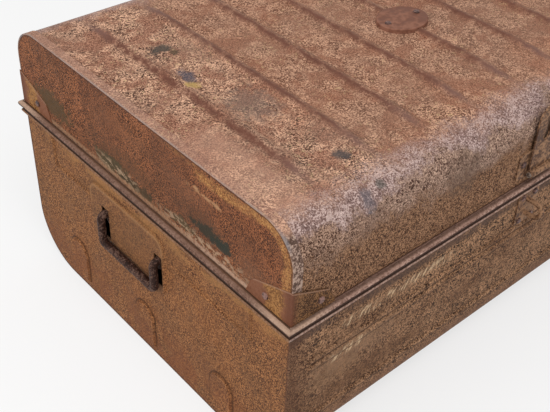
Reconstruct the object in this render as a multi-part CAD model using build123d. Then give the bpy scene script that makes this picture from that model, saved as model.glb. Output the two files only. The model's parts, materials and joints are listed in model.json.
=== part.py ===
from build123d import *
import math
import os

# Small tin trunk. Millimetres, +X along the length, front at -Y, +Z up, origin on the ground under the middle.

# overall sizes
length = 592.0           # over the end panels
depth = 395.0            # over the folded laps, front to back
parting = 178.0          # height of the joint between body and lid
lid_height = 94.0        # parting to the top of the lid's laps
sheet = 0.8              # tinplate thickness
body_roll = 56.0         # radius of the body's two lower edges
lid_roll = 34.0          # radius of the lid's two upper edges
parting_gap = 2.0        # between the body's rim and the lid's rim, where the hinges hold it

# end panels folded over the wrapped sheets
lap = 9.0                # width of the folded lap
seam_gap = 0.05          # between two sheets that lie on each other
rim_clear = 0.3          # between a rim curl and what ends above or below it
side_play = 0.3          # beside a knuckle, under a pin's head

# wired rims
lid_wire = 4.8
body_wire = 3.0
wire_gap = 0.1

# pressed ribs across the top
rib_count = 9
rib_pitch = 59.5
rib_width = 13.0
rib_rise = 3.0
rib_straight = 220.0     # level length
rib_fade = 46.0          # length of each end that sinks into the top

# pressed lines on the body
swage_width = 7.0
swage_rise = 1.6
front_swages = (131.0, 122.0, 60.5)
front_swage_end = 24.0   # from the end panel
end_swage_z = 136.0
end_swage_y = 150.0
end_swage_top = 8.0      # below the rim curl

# pressed panels on the ends
press_rise = 2.2
press_draft = 42.0
arch_width = 32.0
arch_bottom = 9.0
arch_top = 58.0
arch_pitch = 117.0
arch_shift = 4.0
field_width = 120.0
field_shift = 9.0        # field's middle beyond the handle's, towards the back
field_bottom = 90.0
field_top = 160.0
field_corner = 14.0

# bail handles
handle_y = 16.0          # handle's middle, towards the back
handle_width = 84.0      # between the arms' centres
handle_rod = 8.0
handle_pivot_z = 122.5
handle_set = 0.5         # between the panel's inner face and the pivot rod
handle_drop = 21.0       # pivot down to the hanging grip
handle_stand = 1.0       # between the hanging arms and the panel
handle_bend = 5.0
pivot_length = 19.5
slot_side = 1.75         # clearance beside the rod in its slot
slot_down = 17.5
slot_up = 16.5
clip_width = 12.0
clip_inset = 12.5        # arm's centre to the clip's centre
clip_wall = 1.2
clip_wing = 15.0
pin_fit = 0.06

# rivets
rivet_r = 1.6
rivet_head_r = 3.2
rivet_head = 1.5
rivet_tail_r = 2.6
rivet_tail = 0.8
hole_gap = 0.05

# collar that guides the lid
collar_wall = 1.0
collar_low = 20.0        # below the parting
collar_high = 12.0       # above the parting
collar_step = 0.85       # how far the upstand is set in

# corner gussets on the lid
gusset_front = 45.5      # reach along the front
gusset_end = 53.0        # reach along the end
gusset_top = 34.3
gusset_shoulder_in = 7.0
gusset_shoulder_up = 17.0
gusset_round = 10.0
gusset_rivet_in = 28.7
gusset_rivet_up = 11.0

# oval plate on the top
plate_long = 56.0
plate_wide = 46.0
plate_y = -20.0
plate_wall = 1.2
plate_rivet_x = 20.0
plate_clear = 0.15

# hinges
hinge_x = 170.0
hinge_width = 50.0
leaf_wall = 1.2
leaf_clear = 0.35        # between a leaf and the lid's curl
knuckle_r = 4.0
hinge_pin_r = 2.0
knuckle_width = 16.0
knuckle_gap = 0.5
leaf_straight = 8.0
leaf_joggle = 9.0
leaf_flat = 24.0
leaf_rivet_x = 16.0
leaf_rivet = 12.0        # from the leaf's far edge
pin_head = 1.5

# hasp and staple
hasp_width = 30.0
hasp_wall = 1.6
hasp_tip = 23.0          # strap beyond the staple's middle
hasp_up = 21.0           # hasp's pin above the parting
hasp_plate_width = 58.0
hasp_plate_height = 24.0
hasp_plate_wall = 1.2
hasp_knuckle_r = 3.6
hasp_pin_r = 1.8
hasp_rivet_x = 22.0
hasp_rivet_up = 12.0
staple_rod = 5.0
staple_eye_r = 5.5
staple_reach = 9.5       # straight part of the loop
staple_down = 24.0       # loop's centre under the parting
staple_plate_width = 30.0
staple_plate_height = 36.0
staple_plate_wall = 1.6
staple_rivet_z = 13.5
staple_rivet_x = 9.0
slot_clear_x = 1.6
slot_clear_z = 2.6

# derived planes
half_x = length / 2
half_y = depth / 2
wrap_x = half_x - sheet - seam_gap
wrap_inset = sheet + seam_gap
wrap_y = half_y - wrap_inset
wall_in = wrap_y - sheet
top_z = parting + lid_height
lid_skin = top_z - wrap_inset
lid_curl = lid_wire / 2 + wire_gap + sheet
body_curl = body_wire / 2 + wire_gap + sheet
lid_curl_z = parting + parting_gap + lid_curl
body_curl_z = parting - body_curl
rib_r = ((rib_width / 2) ** 2 + rib_rise ** 2) / (2 * rib_rise)
swage_r = ((swage_width / 2) ** 2 + swage_rise ** 2) / (2 * swage_rise)
face_x = half_x + press_rise
pivot_x = face_x - sheet - handle_set - handle_rod / 2
grip_x = face_x + handle_stand + handle_rod / 2
collar_out_y = wall_in - seam_gap * 2
collar_out_x = half_x - sheet - seam_gap * 2
hinge_y = wrap_y + 2 * lid_curl - sheet + leaf_clear + knuckle_r
hinge_z = parting + parting_gap / 2
hasp_out = wrap_y + 2 * lid_curl - sheet + leaf_clear + hasp_wall
hasp_pivot_y = hasp_out - hasp_knuckle_r + 1.0
hasp_pivot_z = parting + hasp_up
staple_z = parting - staple_down
staple_drop = hasp_pivot_z - staple_z
hasp_length = staple_drop + hasp_tip


def body_outline(inset, top):
    """Body seen from the end: open-topped tub with two rolled lower edges."""
    high = top - inset
    box = Pos(0, inset + high / 2) * Rectangle(2 * (half_y - inset), high)
    return fillet(box.vertices().group_by(Axis.Y)[0], body_roll - inset)


def lid_outline(inset, bottom):
    """Lid seen from the end: flat top with two rolled upper edges."""
    high = top_z - inset - bottom
    box = Pos(0, bottom + high / 2) * Rectangle(2 * (half_y - inset), high)
    return fillet(box.vertices().group_by(Axis.Y)[-1], lid_roll - inset)


def slab(outline, x0, x1):
    """An end-on outline pulled from x0 to x1."""
    return extrude(Plane.YZ.offset(x0) * outline, x1 - x0)


def box_between(x0, x1, y0, y1, z0, z1):
    return Pos((x0 + x1) / 2, (y0 + y1) / 2, (z0 + z1) / 2) * Box(x1 - x0, y1 - y0, z1 - z0)


def rod(p, q, r):
    """Round bar between two points, flat ends."""
    a, b = Vector(p), Vector(q)
    return Plane(origin=a, z_dir=b - a) * Cylinder(r, (b - a).length, align=(Align.CENTER, Align.CENTER, Align.MIN))


def bead(p, q, r):
    """Round bar between two points with ball ends."""
    return rod(p, q, r) + Pos(*p) * Sphere(r) + Pos(*q) * Sphere(r)


def mitre(side, cx, cy, z, r):
    """Block that trims a rim's side to its mitred length."""
    k = 3 * r
    if side == "x":
        pts = [(-cx + k, -cy + k), (-cx - k, -cy - k), (cx + k, -cy - k), (cx - k, -cy + k)]
    else:
        pts = [(-cx + k, -cy + k), (-cx - k, -cy - k), (-cx - k, cy + k), (-cx + k, cy - k)]
    area = make_face(Polyline(*pts, close=True))
    return extrude(Pos(0, 0, z - 2 * r) * area, 4 * r)


def curl(side, cx, cy, z, r):
    """Sheet curled round the rim wire along the front or the left end."""
    if side == "x":
        p, q = (-cx - r, -cy, z), (cx + r, -cy, z)
    else:
        p, q = (-cx, -cy - r, z), (-cx, cy + r, z)
    return (rod(p, q, r) - rod(p, q, r - sheet)) & mitre(side, cx - seam_gap / 2, cy, z, r)


def both_ways(part, plane):
    return part + mirror(part, about=plane)


def rim_wire(cx, cy, z, r):
    """Closed square-cornered wire ring inside the curls."""
    front = rod((-cx - r, -cy, z), (cx + r, -cy, z), r) & mitre("x", cx, cy, z, 2 * r)
    left = rod((-cx, -cy - r, z), (-cx, cy + r, z), r) & mitre("y", cx, cy, z, 2 * r)
    return both_ways(front, Plane.XZ) + both_ways(left, Plane.YZ)


def rivet(at, out, grip):
    """Domed head outside, shank through the grip, flat tail inside."""
    low = (Align.CENTER, Align.CENTER, Align.MIN)
    head = Cylinder(rivet_head_r, rivet_head, align=low)
    head = fillet(head.edges().group_by(Axis.Z)[-1], rivet_head * 0.8)
    shank = Pos(0, 0, -grip) * Cylinder(rivet_r, grip + rivet_head / 2, align=low)
    tail = Pos(0, 0, -grip - rivet_tail) * Cylinder(rivet_tail_r, rivet_tail, align=low)
    return Plane(origin=at, z_dir=out) * (head + shank + tail)


def rivets(places):
    return [rivet(*place) for place in places]


def punched(part, places):
    """The part with a hole for every rivet."""
    for at, out, grip in places:
        hole = Plane(origin=at, z_dir=out) * Cylinder(rivet_r + hole_gap, 2 * grip + 2)
        part = part - hole
    return part


# where the rivets sit: point on the outer face, outward direction, thickness held

def gusset_rivets():
    z = lid_curl_z + lid_curl + gusset_rivet_up
    out_y = half_y + seam_gap + sheet
    out_x = half_x + seam_gap + sheet
    front_grip = out_y - wall_in
    end_grip = out_x - (half_x - sheet)
    places = []
    for sx in (-1, 1):
        for sy in (-1, 1):
            places.append(((sx * (half_x - gusset_rivet_in), sy * out_y, z), (0, sy, 0), front_grip))
            places.append(((sx * out_x, sy * (half_y - gusset_rivet_in), z), (sx, 0, 0), end_grip))
    return places


def leaf_end():
    return leaf_straight + leaf_joggle + leaf_flat


def hinge_rivets(up):
    z = hinge_z + up * (leaf_end() - leaf_rivet)
    out = wrap_y + seam_gap + leaf_wall
    grip = out - wall_in
    places = []
    for sx in (-1, 1):
        for k in (-1, 1):
            places.append(((sx * hinge_x + k * leaf_rivet_x, out, z), (0, 1, 0), grip))
    return places


def hasp_rivets():
    out = wrap_y + seam_gap + hasp_plate_wall
    z = hasp_pivot_z + hasp_rivet_up
    return [((k * hasp_rivet_x, -out, z), (0, -1, 0), out - wall_in) for k in (-1, 1)]


def staple_rivets():
    out = wrap_y + seam_gap + staple_plate_wall
    places = []
    for kx in (-1, 1):
        for kz, back in ((-1, wall_in), (1, collar_out_y - collar_wall)):
            at = (kx * staple_rivet_x, -out, staple_z + kz * staple_rivet_z)
            places.append((at, (0, -1, 0), out - back))
    return places


def plate_rivets():
    z = lid_skin + seam_gap + rib_rise + plate_clear + plate_wall
    return [((k * plate_rivet_x, plate_y, z), (0, 0, 1), z - (lid_skin - sheet)) for k in (-1, 1)]


# body

def body_wrap():
    """One sheet: front, rolled lower edges, bottom and back, with pressed lines and curled rims."""
    outer = slab(body_outline(wrap_inset, body_curl_z), -wrap_x, wrap_x)
    inner = slab(body_outline(wrap_inset + sheet, parting + 1), -half_x, half_x)
    x = wrap_x - front_swage_end
    y = wrap_y + swage_rise - swage_r
    for z in front_swages:
        for sy in (-1, 1):
            outer = outer + bead((-x, sy * y, z), (x, sy * y, z), swage_r)
            inner = inner + bead((-x, sy * y, z), (x, sy * y, z), swage_r - sheet)
    cx = half_x - sheet + body_curl
    cy = wall_in + body_curl
    rim = both_ways(curl("x", cx, cy, body_curl_z, body_curl), Plane.XZ)
    return outer - inner + rim


def end_tray(outer, inner, bulges, hollows):
    """Flat panel with a folded lap round it and its pressed shapes."""
    skin = slab(outer, -half_x, -half_x + lap)
    room = slab(inner, -half_x + sheet, -half_x + lap + 1)
    for b in bulges:
        skin = skin + b
    for h in hollows:
        room = room + h
    return skin - room


def press(outline, rise, x):
    """Raised pressing with sloping sides, standing out of the left end."""
    return extrude(Plane.YZ.offset(x) * outline, -rise, taper=press_draft)


def raised(outline_of):
    """Outer bulge and inner hollow of one pressing."""
    root = 0.4
    bulge = press(outline_of(0), press_rise, -half_x) + slab(outline_of(0), -half_x, -half_x + root)
    hollow = press(outline_of(sheet / 2), press_rise, -half_x + sheet)
    hollow = hollow + slab(outline_of(sheet / 2), -half_x + sheet, -half_x + sheet + root)
    return bulge, hollow


def arch(y):
    def outline(inset):
        w = arch_width - 2 * inset
        high = arch_top - arch_bottom - 2 * inset
        box = Pos(y, arch_bottom + inset + high / 2) * Rectangle(w, high)
        return fillet(box.vertices().group_by(Axis.Y)[-1], w / 2 - 0.5)
    return outline


def handle_field(inset):
    high = field_top - field_bottom
    box = Pos(handle_y + field_shift, field_bottom + high / 2)
    return box * RectangleRounded(field_width - 2 * inset, high - 2 * inset, field_corner - inset)


def end_swage(r):
    """Pressed line on each side of the handle, turned up to the rim."""
    x = -half_x - swage_rise + swage_r
    top = body_curl_z - body_curl - end_swage_top
    lines = None
    for sy in (-1, 1):
        inner_y = handle_y + field_shift + sy * field_width / 2
        line = bead((x, sy * end_swage_y, top), (x, sy * end_swage_y, end_swage_z), r)
        line = line + bead((x, sy * end_swage_y, end_swage_z), (x, inner_y, end_swage_z), r)
        lines = line if lines is None else lines + line
    return lines


def handle_slots():
    high = slot_up + slot_down
    z = handle_pivot_z + slot_up - high / 2
    wide = handle_rod + 2 * slot_side
    slots = None
    for sy in (-1, 1):
        slot = Pos(-half_x, handle_y + sy * handle_width / 2, z) * Box(12, wide, high)
        slots = slot if slots is None else slots + slot
    return slots


def body_end():
    """Left end panel of the body."""
    bulges = [end_swage(swage_r)]
    hollows = [end_swage(swage_r - sheet)]
    shapes = [handle_field] + [arch(arch_shift + k * arch_pitch) for k in (-1, 0, 1)]
    for shape in shapes:
        bulge, hollow = raised(shape)
        bulges.append(bulge)
        hollows.append(hollow)
    tray = end_tray(body_outline(0, body_curl_z), body_outline(sheet, parting + 1), bulges, hollows)
    lap_top = body_curl_z - body_curl - rim_clear
    tray = tray - box_between(-half_x + sheet, 0, -half_y - 1, half_y + 1, lap_top, parting + 1)
    corner = box_between(-half_x - 1, 0, wall_in - seam_gap, half_y + 1, lap_top, parting + 1)
    tray = tray - both_ways(corner, Plane.XZ) - handle_slots()
    cx = half_x - sheet + body_curl
    return tray + curl("y", cx, wall_in + body_curl, body_curl_z, body_curl)


def collar():
    """Strip bent round inside the rim, its upper part set in to guide the lid."""
    low = parting - collar_low
    ring = Pos(0, 0, low) * extrude(Rectangle(2 * collar_out_x, 2 * collar_out_y), collar_low - 1)
    x = collar_out_x - collar_step
    y = collar_out_y - collar_step
    ring = ring + Pos(0, 0, parting - 3) * extrude(Rectangle(2 * x, 2 * y), collar_high + 3)
    w = collar_wall
    bore = Pos(0, 0, low - 1) * extrude(Rectangle(2 * (collar_out_x - w), 2 * (collar_out_y - w)), collar_low - 2)
    bore = bore + Pos(0, 0, low - 1) * extrude(Rectangle(2 * (x - w), 2 * (y - w)), collar_low + collar_high + 2)
    return ring - bore


# lid

def rib(x, r):
    """Level bar whose ends curve down into the top."""
    z = lid_skin + rib_rise - rib_r
    y = rib_straight / 2
    drop = rib_rise + 0.8
    y_end = y + rib_fade
    bend = (rib_fade ** 2 + drop ** 2) / (2 * drop)
    turn = math.asin(rib_fade / bend)
    mid = (x, y + bend * math.sin(turn / 2), z - bend * (1 - math.cos(turn / 2)))
    far = (x, y_end, z - drop)
    fade = ThreePointArc((x, y, z), mid, far)
    back = ThreePointArc((x, -far[1], far[2]), (x, -mid[1], mid[2]), (x, -y, z))
    path = Wire([back, Line((x, -y, z), (x, y, z)), fade])
    start = Plane(origin=path @ 0, z_dir=path % 0)
    return sweep(start * Circle(r), path=path)


def lid_top():
    """One sheet: front, rolled upper edges, ribbed top and back, with curled rims."""
    outer = slab(lid_outline(wrap_inset, lid_curl_z), -wrap_x, wrap_x)
    inner = slab(lid_outline(wrap_inset + sheet, parting - 1), -half_x, half_x)
    for i in range(rib_count):
        x = (i - (rib_count - 1) / 2) * rib_pitch
        outer = outer + rib(x, rib_r)
        inner = inner + rib(x, rib_r - sheet)
    cx = half_x - sheet + lid_curl
    cy = wall_in + lid_curl
    rim = both_ways(curl("x", cx, cy, lid_curl_z, lid_curl), Plane.XZ)
    return outer - inner + rim


def lid_end():
    """Left end panel of the lid."""
    tray = end_tray(lid_outline(0, lid_curl_z), lid_outline(sheet, parting - 1), [], [])
    lap_low = lid_curl_z + lid_curl + rim_clear
    tray = tray - box_between(-half_x + sheet, 0, -half_y - 1, half_y + 1, parting - 1, lap_low)
    corner = box_between(-half_x - 1, 0, wall_in - seam_gap, half_y + 1, parting - 1, lap_low)
    tray = tray - both_ways(corner, Plane.XZ)
    cx = half_x - sheet + lid_curl
    return tray + curl("y", cx, wall_in + lid_curl, lid_curl_z, lid_curl)


def gusset():
    """Front left corner plate of the lid, bent round the corner."""
    low = lid_curl_z + lid_curl + rim_clear

    def wing(side, reach):
        shoulder = (side * (reach - gusset_shoulder_in), low + gusset_shoulder_up)
        outline = make_face(Polyline((0, low), (0, low + gusset_top), shoulder, (side * reach, low), close=True))
        return fillet(outline.vertices().sort_by_distance((*shoulder, 0))[0], gusset_round)

    out_y = half_y + seam_gap
    out_x = half_x + seam_gap
    front = extrude(Plane(origin=(-out_x - sheet, -out_y, 0), x_dir=(1, 0, 0), z_dir=(0, -1, 0)) * wing(1, gusset_front), sheet)
    end = extrude(Plane(origin=(-out_x, -out_y - sheet, 0), x_dir=(0, -1, 0), z_dir=(-1, 0, 0)) * wing(-1, gusset_end), sheet)
    return front + end


def oval_plate():
    """Pressed oval cap with a turned-down edge, notched over the middle rib."""
    high = rib_rise + plate_clear + plate_wall
    cap = extrude(Ellipse(plate_long / 2, plate_wide / 2), high)
    cap = fillet(cap.edges().group_by(Axis.Z)[-1], plate_wall * 0.8)
    room = extrude(Ellipse(plate_long / 2 - plate_wall, plate_wide / 2 - plate_wall), high - plate_wall)
    room = room + Pos(0, 0, rib_rise - rib_r) * Rot(90, 0, 0) * Cylinder(rib_r + plate_clear, plate_wide + 2)
    return Pos(0, plate_y, lid_skin + seam_gap) * (cap - room)


# hinges

def hinge_leaf(up, fingers):
    """Leaf stepped out over the rims, with its share of the knuckle."""
    w = leaf_wall
    y0 = hinge_y - knuckle_r
    y1 = wrap_y + seam_gap
    a = leaf_straight
    b = leaf_straight + leaf_joggle
    c = leaf_end()
    pts = [(y0, 0), (y0, a), (y1, b), (y1, c), (y1 + w, c), (y1 + w, b), (y0 + w, a), (y0 + w, 0)]
    face = make_face(Polyline(*[(y, hinge_z + up * z) for y, z in pts], close=True))
    leaf = extrude(Plane.YZ.offset(-hinge_width / 2) * face, hinge_width)
    clear = knuckle_r + knuckle_gap
    kept = None
    for x0, x1 in fingers:
        ring = rod((x0, hinge_y, hinge_z), (x1, hinge_y, hinge_z), knuckle_r)
        kept = ring if kept is None else kept + ring
        for_gap = box_between(x0, x1, y0 - 1, hinge_y, hinge_z - clear, hinge_z + clear)
        kept = kept + (leaf & for_gap)
    leaf = leaf - box_between(-hinge_width, hinge_width, y0 - 1, hinge_y + clear, hinge_z - clear, hinge_z + clear)
    bore = rod((-hinge_width, hinge_y, hinge_z), (hinge_width, hinge_y, hinge_z), hinge_pin_r + pin_fit)
    return leaf + kept - bore


def lid_leaf():
    k = knuckle_width / 2 + knuckle_gap
    e = hinge_width / 2
    return hinge_leaf(1, [(-e, -k), (k, e)])


def body_leaf():
    k = knuckle_width / 2
    return hinge_leaf(-1, [(-k, k)])


def hinge_pin():
    e = hinge_width / 2
    pin = rod((-e - pin_head, hinge_y, hinge_z), (e + pin_head, hinge_y, hinge_z), hinge_pin_r)
    for s in (-1, 1):
        near = s * (e + side_play)
        pin = pin + rod((near, hinge_y, hinge_z), (near + s * pin_head, hinge_y, hinge_z), hinge_pin_r + 1.2)
    return pin


# hasp

def hasp_plate():
    """Plate riveted to the lid's front, with the two outer knuckles of the hasp."""
    y = wrap_y + seam_gap
    w = hasp_plate_width / 2
    z = hasp_pivot_z
    plate = box_between(-w, w, -y - hasp_plate_wall, -y, z - hasp_knuckle_r, z + hasp_plate_height)
    plate = fillet(plate.edges().filter_by(Axis.Y).group_by(Axis.Z)[-1], 5)
    inner = hasp_width / 2 - 6
    outer = hasp_width / 2
    for s in (-1, 1):
        xs = sorted((s * (inner + knuckle_gap), s * outer))
        ring = rod((xs[0], -hasp_pivot_y, z), (xs[1], -hasp_pivot_y, z), hasp_knuckle_r)
        arm = box_between(xs[0], xs[1], -hasp_pivot_y, -y, z - hasp_knuckle_r, z + hasp_knuckle_r)
        plate = plate + ring + arm
    bore = rod((-w, -hasp_pivot_y, z), (w, -hasp_pivot_y, z), hasp_pin_r + pin_fit)
    return plate - bore


def hasp():
    """Hinged strap with the staple's slot, folded up against the lid."""
    z = hasp_pivot_z
    near = 2 * hasp_pivot_y - hasp_out
    w = hasp_width / 2
    inner = w - 6
    strap = box_between(-w, w, -near - hasp_wall, -near, z + hasp_knuckle_r + 1, z + hasp_length)
    strap = fillet(strap.edges().filter_by(Axis.Y).group_by(Axis.Z)[-1], w - 2)
    neck = box_between(-inner, inner, -near - hasp_wall, -near, z, z + hasp_knuckle_r + 2)
    ring = rod((-inner, -hasp_pivot_y, z), (inner, -hasp_pivot_y, z), hasp_knuckle_r)
    slot_w = staple_rod + 2 * slot_clear_x
    slot_h = 2 * (staple_eye_r + staple_rod) + 2 * slot_clear_z
    slot = Plane(origin=(0, -near, z + staple_drop), x_dir=(0, 0, 1), z_dir=(0, -1, 0)) * SlotOverall(slot_h, slot_w)
    slot = extrude(slot, 4 * hasp_wall, both=True)
    bore = rod((-w, -hasp_pivot_y, z), (w, -hasp_pivot_y, z), hasp_pin_r + pin_fit)
    return strap + neck + ring - slot - bore


def hasp_pin():
    w = hasp_width / 2
    pin = rod((-w - 1.2, -hasp_pivot_y, hasp_pivot_z), (w + 1.2, -hasp_pivot_y, hasp_pivot_z), hasp_pin_r)
    for s in (-1, 1):
        a = (s * (w + side_play), -hasp_pivot_y, hasp_pivot_z)
        b = (s * (w + side_play + 1.0), -hasp_pivot_y, hasp_pivot_z)
        pin = pin + rod(a, b, hasp_pin_r + 0.8)
    return pin


def staple():
    """Plate on the body's front with the loop that takes the hasp and a padlock."""
    y = wrap_y + seam_gap
    w = staple_plate_width / 2
    h = staple_plate_height / 2
    plate = box_between(-w, w, -y - staple_plate_wall, -y, staple_z - h, staple_z + h)
    plate = fillet(plate.edges().filter_by(Axis.Y), 4)
    rad = staple_eye_r + staple_rod / 2
    y_in = -y - staple_plate_wall / 2
    y_out = y_in - staple_reach
    top = Line((0, y_in, staple_z + rad), (0, y_out, staple_z + rad))
    bend = ThreePointArc((0, y_out, staple_z + rad), (0, y_out - rad, staple_z), (0, y_out, staple_z - rad))
    low = Line((0, y_out, staple_z - rad), (0, y_in, staple_z - rad))
    path = Wire([top, bend, low])
    loop = sweep(Plane(origin=path @ 0, z_dir=path % 0) * Circle(staple_rod / 2), path=path)
    return plate + loop


# handles

def bail():
    """Left bail: inner pivots, legs up to the top of the slots, over and out, arms down to the grip."""
    out = grip_x - pivot_x
    h = handle_width / 2
    half = [(pivot_length - h, 0, 0), (-h, 0, 0), (-h, 0, out), (-h, out, out), (-h, out, -handle_drop)]
    pts = half + [(-y, u, z) for y, u, z in reversed(half)]
    path = FilletPolyline(*[(-pivot_x - u, handle_y + y, handle_pivot_z + z) for y, u, z in pts], radius=handle_bend)
    start = Plane(origin=path @ 0, z_dir=path % 0)
    return sweep(start * Circle(handle_rod / 2), path=path)


def clip(side):
    """Eye plate that holds one pivot of the left bail inside the end panel."""
    y = handle_y + side * (handle_width / 2 - clip_inset)
    x0 = -(face_x - sheet - seam_gap)
    z = handle_pivot_z
    r = handle_rod / 2 + pin_fit
    w = clip_width / 2
    eye = rod((-pivot_x, y - w, z), (-pivot_x, y + w, z), r + clip_wall)
    foot = box_between(x0, -pivot_x, y - w, y + w, z - r - clip_wall, z + r + clip_wall)
    wing = box_between(x0, x0 + clip_wall, y - w, y + w, z - clip_wing, z + clip_wing)
    eye = eye - box_between(x0 - 2 * r, x0, y - w - 1, y + w + 1, z - 2 * r, z + 2 * r)
    return eye + foot + wing - rod((-pivot_x, y - w - 1, z), (-pivot_x, y + w + 1, z), r)


def right_of(part):
    return mirror(part, about=Plane.YZ)


def back_of(part):
    return mirror(part, about=Plane.XZ)


def save(name, *solids):
    shapes = []
    for s in solids:
        shapes.extend(s.solids())
    whole = shapes[0] if len(shapes) == 1 else Compound(children=shapes)
    export_step(whole, os.path.join("parts", name + ".step"))


def main():
    os.makedirs("parts", exist_ok=True)
    body_holes = hinge_rivets(-1) + staple_rivets()
    lid_holes = gusset_rivets() + hinge_rivets(1) + hasp_rivets() + plate_rivets()

    save("body_wrap", punched(body_wrap(), body_holes))
    panel = body_end()
    save("body_end_left", panel)
    save("body_end_right", right_of(panel))
    save("body_rim_wire", rim_wire(half_x - sheet + body_curl, wall_in + body_curl, body_curl_z, body_wire / 2))
    save("body_collar", punched(collar(), staple_rivets()))

    save("lid_top", punched(lid_top(), lid_holes))
    lid_panel = punched(lid_end(), [p for p in gusset_rivets() if p[0][0] < 0])
    save("lid_end_left", lid_panel)
    save("lid_end_right", right_of(lid_panel))
    save("lid_rim_wire", rim_wire(half_x - sheet + lid_curl, wall_in + lid_curl, lid_curl_z, lid_wire / 2))
    corner = punched(gusset(), [p for p in gusset_rivets() if p[0][0] < 0 and p[0][1] < 0])
    save("gusset_front_left", corner)
    save("gusset_front_right", right_of(corner))
    save("gusset_back_left", back_of(corner))
    save("gusset_back_right", back_of(right_of(corner)))
    save("gusset_rivets", *rivets(gusset_rivets()))
    save("lid_oval_plate", punched(oval_plate(), plate_rivets()))
    save("oval_plate_rivets", *rivets(plate_rivets()))

    for name, sx in (("left", -1), ("right", 1)):
        shift = Pos(sx * hinge_x, 0, 0)
        save("hinge_lid_leaf_" + name, punched(shift * lid_leaf(), hinge_rivets(1)))
        save("hinge_body_leaf_" + name, punched(shift * body_leaf(), hinge_rivets(-1)))
        save("hinge_pin_" + name, shift * hinge_pin())
    save("hinge_lid_rivets", *rivets(hinge_rivets(1)))
    save("hinge_body_rivets", *rivets(hinge_rivets(-1)))

    save("hasp_plate", punched(hasp_plate(), hasp_rivets()))
    save("hasp_plate_rivets", *rivets(hasp_rivets()))
    save("hasp_pin", hasp_pin())
    save("hasp", hasp())
    save("staple", punched(staple(), staple_rivets()))
    save("staple_rivets", *rivets(staple_rivets()))

    left_bail = bail()
    save("handle_left", left_bail)
    save("handle_right", right_of(left_bail))
    for name, side in (("front", -1), ("back", 1)):
        eye = clip(side)
        save("handle_clip_left_" + name, eye)
        save("handle_clip_right_" + name, right_of(eye))


main()
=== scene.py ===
import bpy
import json
import math
from mathutils import Matrix, Vector

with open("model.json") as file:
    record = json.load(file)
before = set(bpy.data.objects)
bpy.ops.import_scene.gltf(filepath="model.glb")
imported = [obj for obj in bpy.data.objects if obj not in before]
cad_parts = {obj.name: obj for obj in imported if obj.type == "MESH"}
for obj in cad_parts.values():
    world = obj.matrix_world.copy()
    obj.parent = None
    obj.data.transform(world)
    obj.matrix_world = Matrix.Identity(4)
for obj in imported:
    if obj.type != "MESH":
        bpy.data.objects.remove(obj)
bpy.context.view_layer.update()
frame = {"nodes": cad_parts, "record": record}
nodes = frame["nodes"]
scene = bpy.context.scene

# ---------------------------------------------------------------- the trunk's places, in metres

lap_depth = 0.1975            # out to the end panels' laps at the front and the back
lap_length = 0.2975           # out to the gussets at the ends
lid_flat = 0.272              # height of the lid's flat top
lid_roll = 0.034              # radius of the lid's rolled edges
foot_roll = 0.056             # radius of the body's rolled lower edges
rib_pitch = 0.0595
first_rib, second_rib = -0.2380, -0.1785
rib_reach = 0.015             # how far a rib's own paint reaches from its middle
lid_bead_middle, lid_bead_half = 0.1833, 0.0036
lid_bead_crest, lid_bead_shoulder = 0.1861, 0.1857
body_bead_foot, body_bead_side = 0.1730, 0.1736
lid_bead_edge, body_bead_edge = 0.0005, 0.0004      # how soft the line of painted shade and dirt along each bead is
field_y, field_z = 0.025, 0.125                     # middle of the raised field behind the handle
field_straight_y, field_straight_z = 0.046, 0.021   # from there to where its rounded corners start
arch_middles = (-0.113, 0.004, 0.121)
arch_spring = 0.042           # height where an arch's round top starts
arch_line = 0.0165            # radius of the painted shade and dirt along an arch
lid_middle = (0, 0, 0.2)      # points inside the lid and the body, which tell inner faces from outer ones
body_middle = (0, 0, 0.15)


# ---------------------------------------------------------------- node helpers

def paint(red, green, blue_painted_highlight):
    """A colour written as it looks, 0 to 255, turned to the linear value that shaders take."""
    def linear(c):
        c = c / 255
        return c / 12.92 if c <= 0.04045 else ((c + 0.055) / 1.055) ** 2.4
    return (linear(red), linear(green), linear(blue_painted_highlight), 1.0)


def is_socket(value):
    return isinstance(value, bpy.types.NodeSocket)


def add(kind, sockets, tree=None, **settings):
    """One node. It goes in the tree that its linked inputs belong to, unless a tree is given."""
    tree = tree or next(value.id_data for value in sockets.values() if is_socket(value))
    node = tree.nodes.new(kind)
    for name, value in settings.items():
        setattr(node, name, value)
    for name, value in sockets.items():
        if is_socket(value):
            tree.links.new(value, node.inputs[name])
        else:
            node.inputs[name].default_value = value
    return node


def maths(operation, first, second=0.0, third=0.0):
    return add("ShaderNodeMath", {0: first, 1: second, 2: third}, operation=operation).outputs[0]


def plus(first, second):
    return maths("ADD", first, second)


def minus(first, second):
    return maths("SUBTRACT", first, second)


def times(first, *others):
    for other in others:
        first = maths("MULTIPLY", first, other)
    return first


def scaled(value, by, start):
    return maths("MULTIPLY_ADD", value, by, start)


def larger(first, second):
    return maths("MAXIMUM", first, second)


def mirrored(value):
    """The value without its sign, so that both halves of the trunk are treated alike."""
    return maths("ABSOLUTE", value)


def ramp(value, low, high, to_low=0.0, to_high=1.0):
    """Smooth step from low to high."""
    sockets = {"Value": value, "From Min": low, "From Max": high, "To Min": to_low, "To Max": to_high}
    return add("ShaderNodeMapRange", sockets, interpolation_type="SMOOTHSTEP").outputs[0]


def blend(factor, under, over):
    return add("ShaderNodeMix", {0: factor, 6: under, 7: over}, data_type="RGBA").outputs[2]


def blend_height(factor, under, over):
    return add("ShaderNodeMix", {0: factor, 2: under, 3: over}, data_type="FLOAT").outputs[0]


def cloud(vector, scale, detail=5.0, rough=0.6, stretch=0.0):
    sockets = {"Vector": vector, "Scale": scale, "Detail": detail, "Roughness": rough, "Distortion": stretch}
    return add("ShaderNodeTexNoise", sockets).outputs[0]


def swing(cloudy):
    """A cloud's value, moved so that it goes as far below zero as above it."""
    return minus(cloudy, 0.5)


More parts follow.
